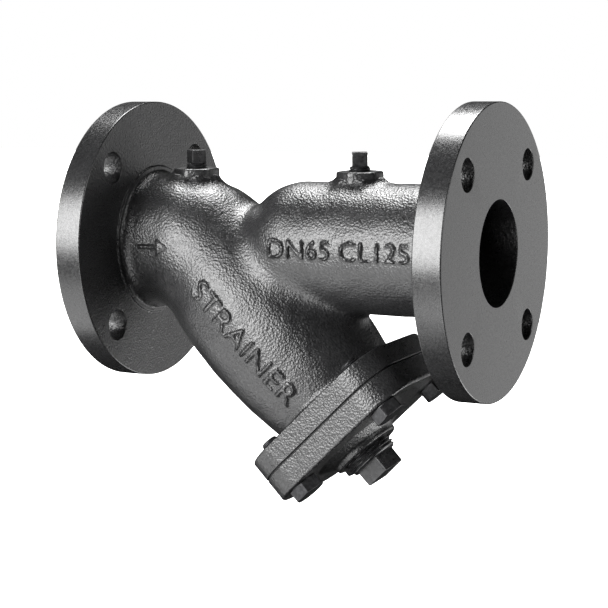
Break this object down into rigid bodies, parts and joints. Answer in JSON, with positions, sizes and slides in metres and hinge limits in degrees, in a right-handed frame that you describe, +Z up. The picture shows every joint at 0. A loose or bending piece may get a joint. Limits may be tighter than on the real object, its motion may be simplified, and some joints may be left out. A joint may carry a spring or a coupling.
{
  "type": "y strainer",
  "caption": "Flanged cast-iron Y strainer: catches debris from a pipe line in a screen held in a slanted leg, behind a bolted cover with a blow-off plug.",
  "frame": {"origin": "centre of the inlet flange's face, on the pipe axis", "axes": "+X along the flow from inlet to outlet, +Z up on the side of the gauge plugs, the screen leg slants down and towards the outlet in the XZ plane, +Y to the far side"},
  "size_m": [0.254, 0.1778, 0.2457],
  "materials": {
    "casting": "satin black varnish over sand-cast iron",
    "fastener": "black oxide, semi-gloss",
    "plug": "black malleable iron, semi-gloss",
    "gasket": "matt graphite sheet",
    "screen": "satin stainless sheet"
  },
  "bodies": {
    "casting": {"body": "casting"},
    "cover_set": {"cover": "casting", "cover_gasket": "gasket"},
    "screen": {"screen_sheet": "screen", "screen_upper_band": "screen", "screen_lower_band": "screen"},
    "blow_off": {"blow_off_plug": "plug"},
    "inlet_plug": {"inlet_gauge_plug": "plug"},
    "outlet_plug": {"outlet_gauge_plug": "plug"},
    "screw_near_upper": {"cover_screw_near_upper": "fastener"},
    "screw_near_lower": {"cover_screw_near_lower": "fastener"},
    "screw_far_upper": {"cover_screw_far_upper": "fastener"},
    "screw_far_lower": {"cover_screw_far_lower": "fastener"}
  },
  "joints": [
    {"name": "cover_slide", "type": "slide", "parent": "casting", "child": "cover_set", "axis": [0.6959, 0, -0.7181], "range_m": [0, 0.25]},
    {"name": "screen_slide", "type": "slide", "parent": "casting", "child": "screen", "axis": [0.6959, 0, -0.7181], "range_m": [0, 0.125]},
    {"name": "blow_off_travel", "type": "slide", "parent": "cover_set", "child": "blow_off", "axis": [0.6959, 0, -0.7181], "range_m": [0, 0.022]},
    {"name": "inlet_plug_travel", "type": "slide", "parent": "casting", "child": "inlet_plug", "axis": [0, 0, 1], "range_m": [0, 0.014]},
    {"name": "outlet_plug_travel", "type": "slide", "parent": "casting", "child": "outlet_plug", "axis": [0, 0, 1], "range_m": [0, 0.014]},
    {"name": "screw_near_upper_travel", "type": "slide", "parent": "cover_set", "child": "screw_near_upper", "axis": [0.6959, 0, -0.7181], "range_m": [0, 0.036]},
    {"name": "screw_near_lower_travel", "type": "slide", "parent": "cover_set", "child": "screw_near_lower", "axis": [0.6959, 0, -0.7181], "range_m": [0, 0.036]},
    {"name": "screw_far_upper_travel", "type": "slide", "parent": "cover_set", "child": "screw_far_upper", "axis": [0.6959, 0, -0.7181], "range_m": [0, 0.036]},
    {"name": "screw_far_lower_travel", "type": "slide", "parent": "cover_set", "child": "screw_far_lower", "axis": [0.6959, 0, -0.7181], "range_m": [0, 0.036]}
  ],
  "couplings": [
    {"joint": "screen_slide", "follows": "cover_slide", "ratio": 0.5}
  ]
}
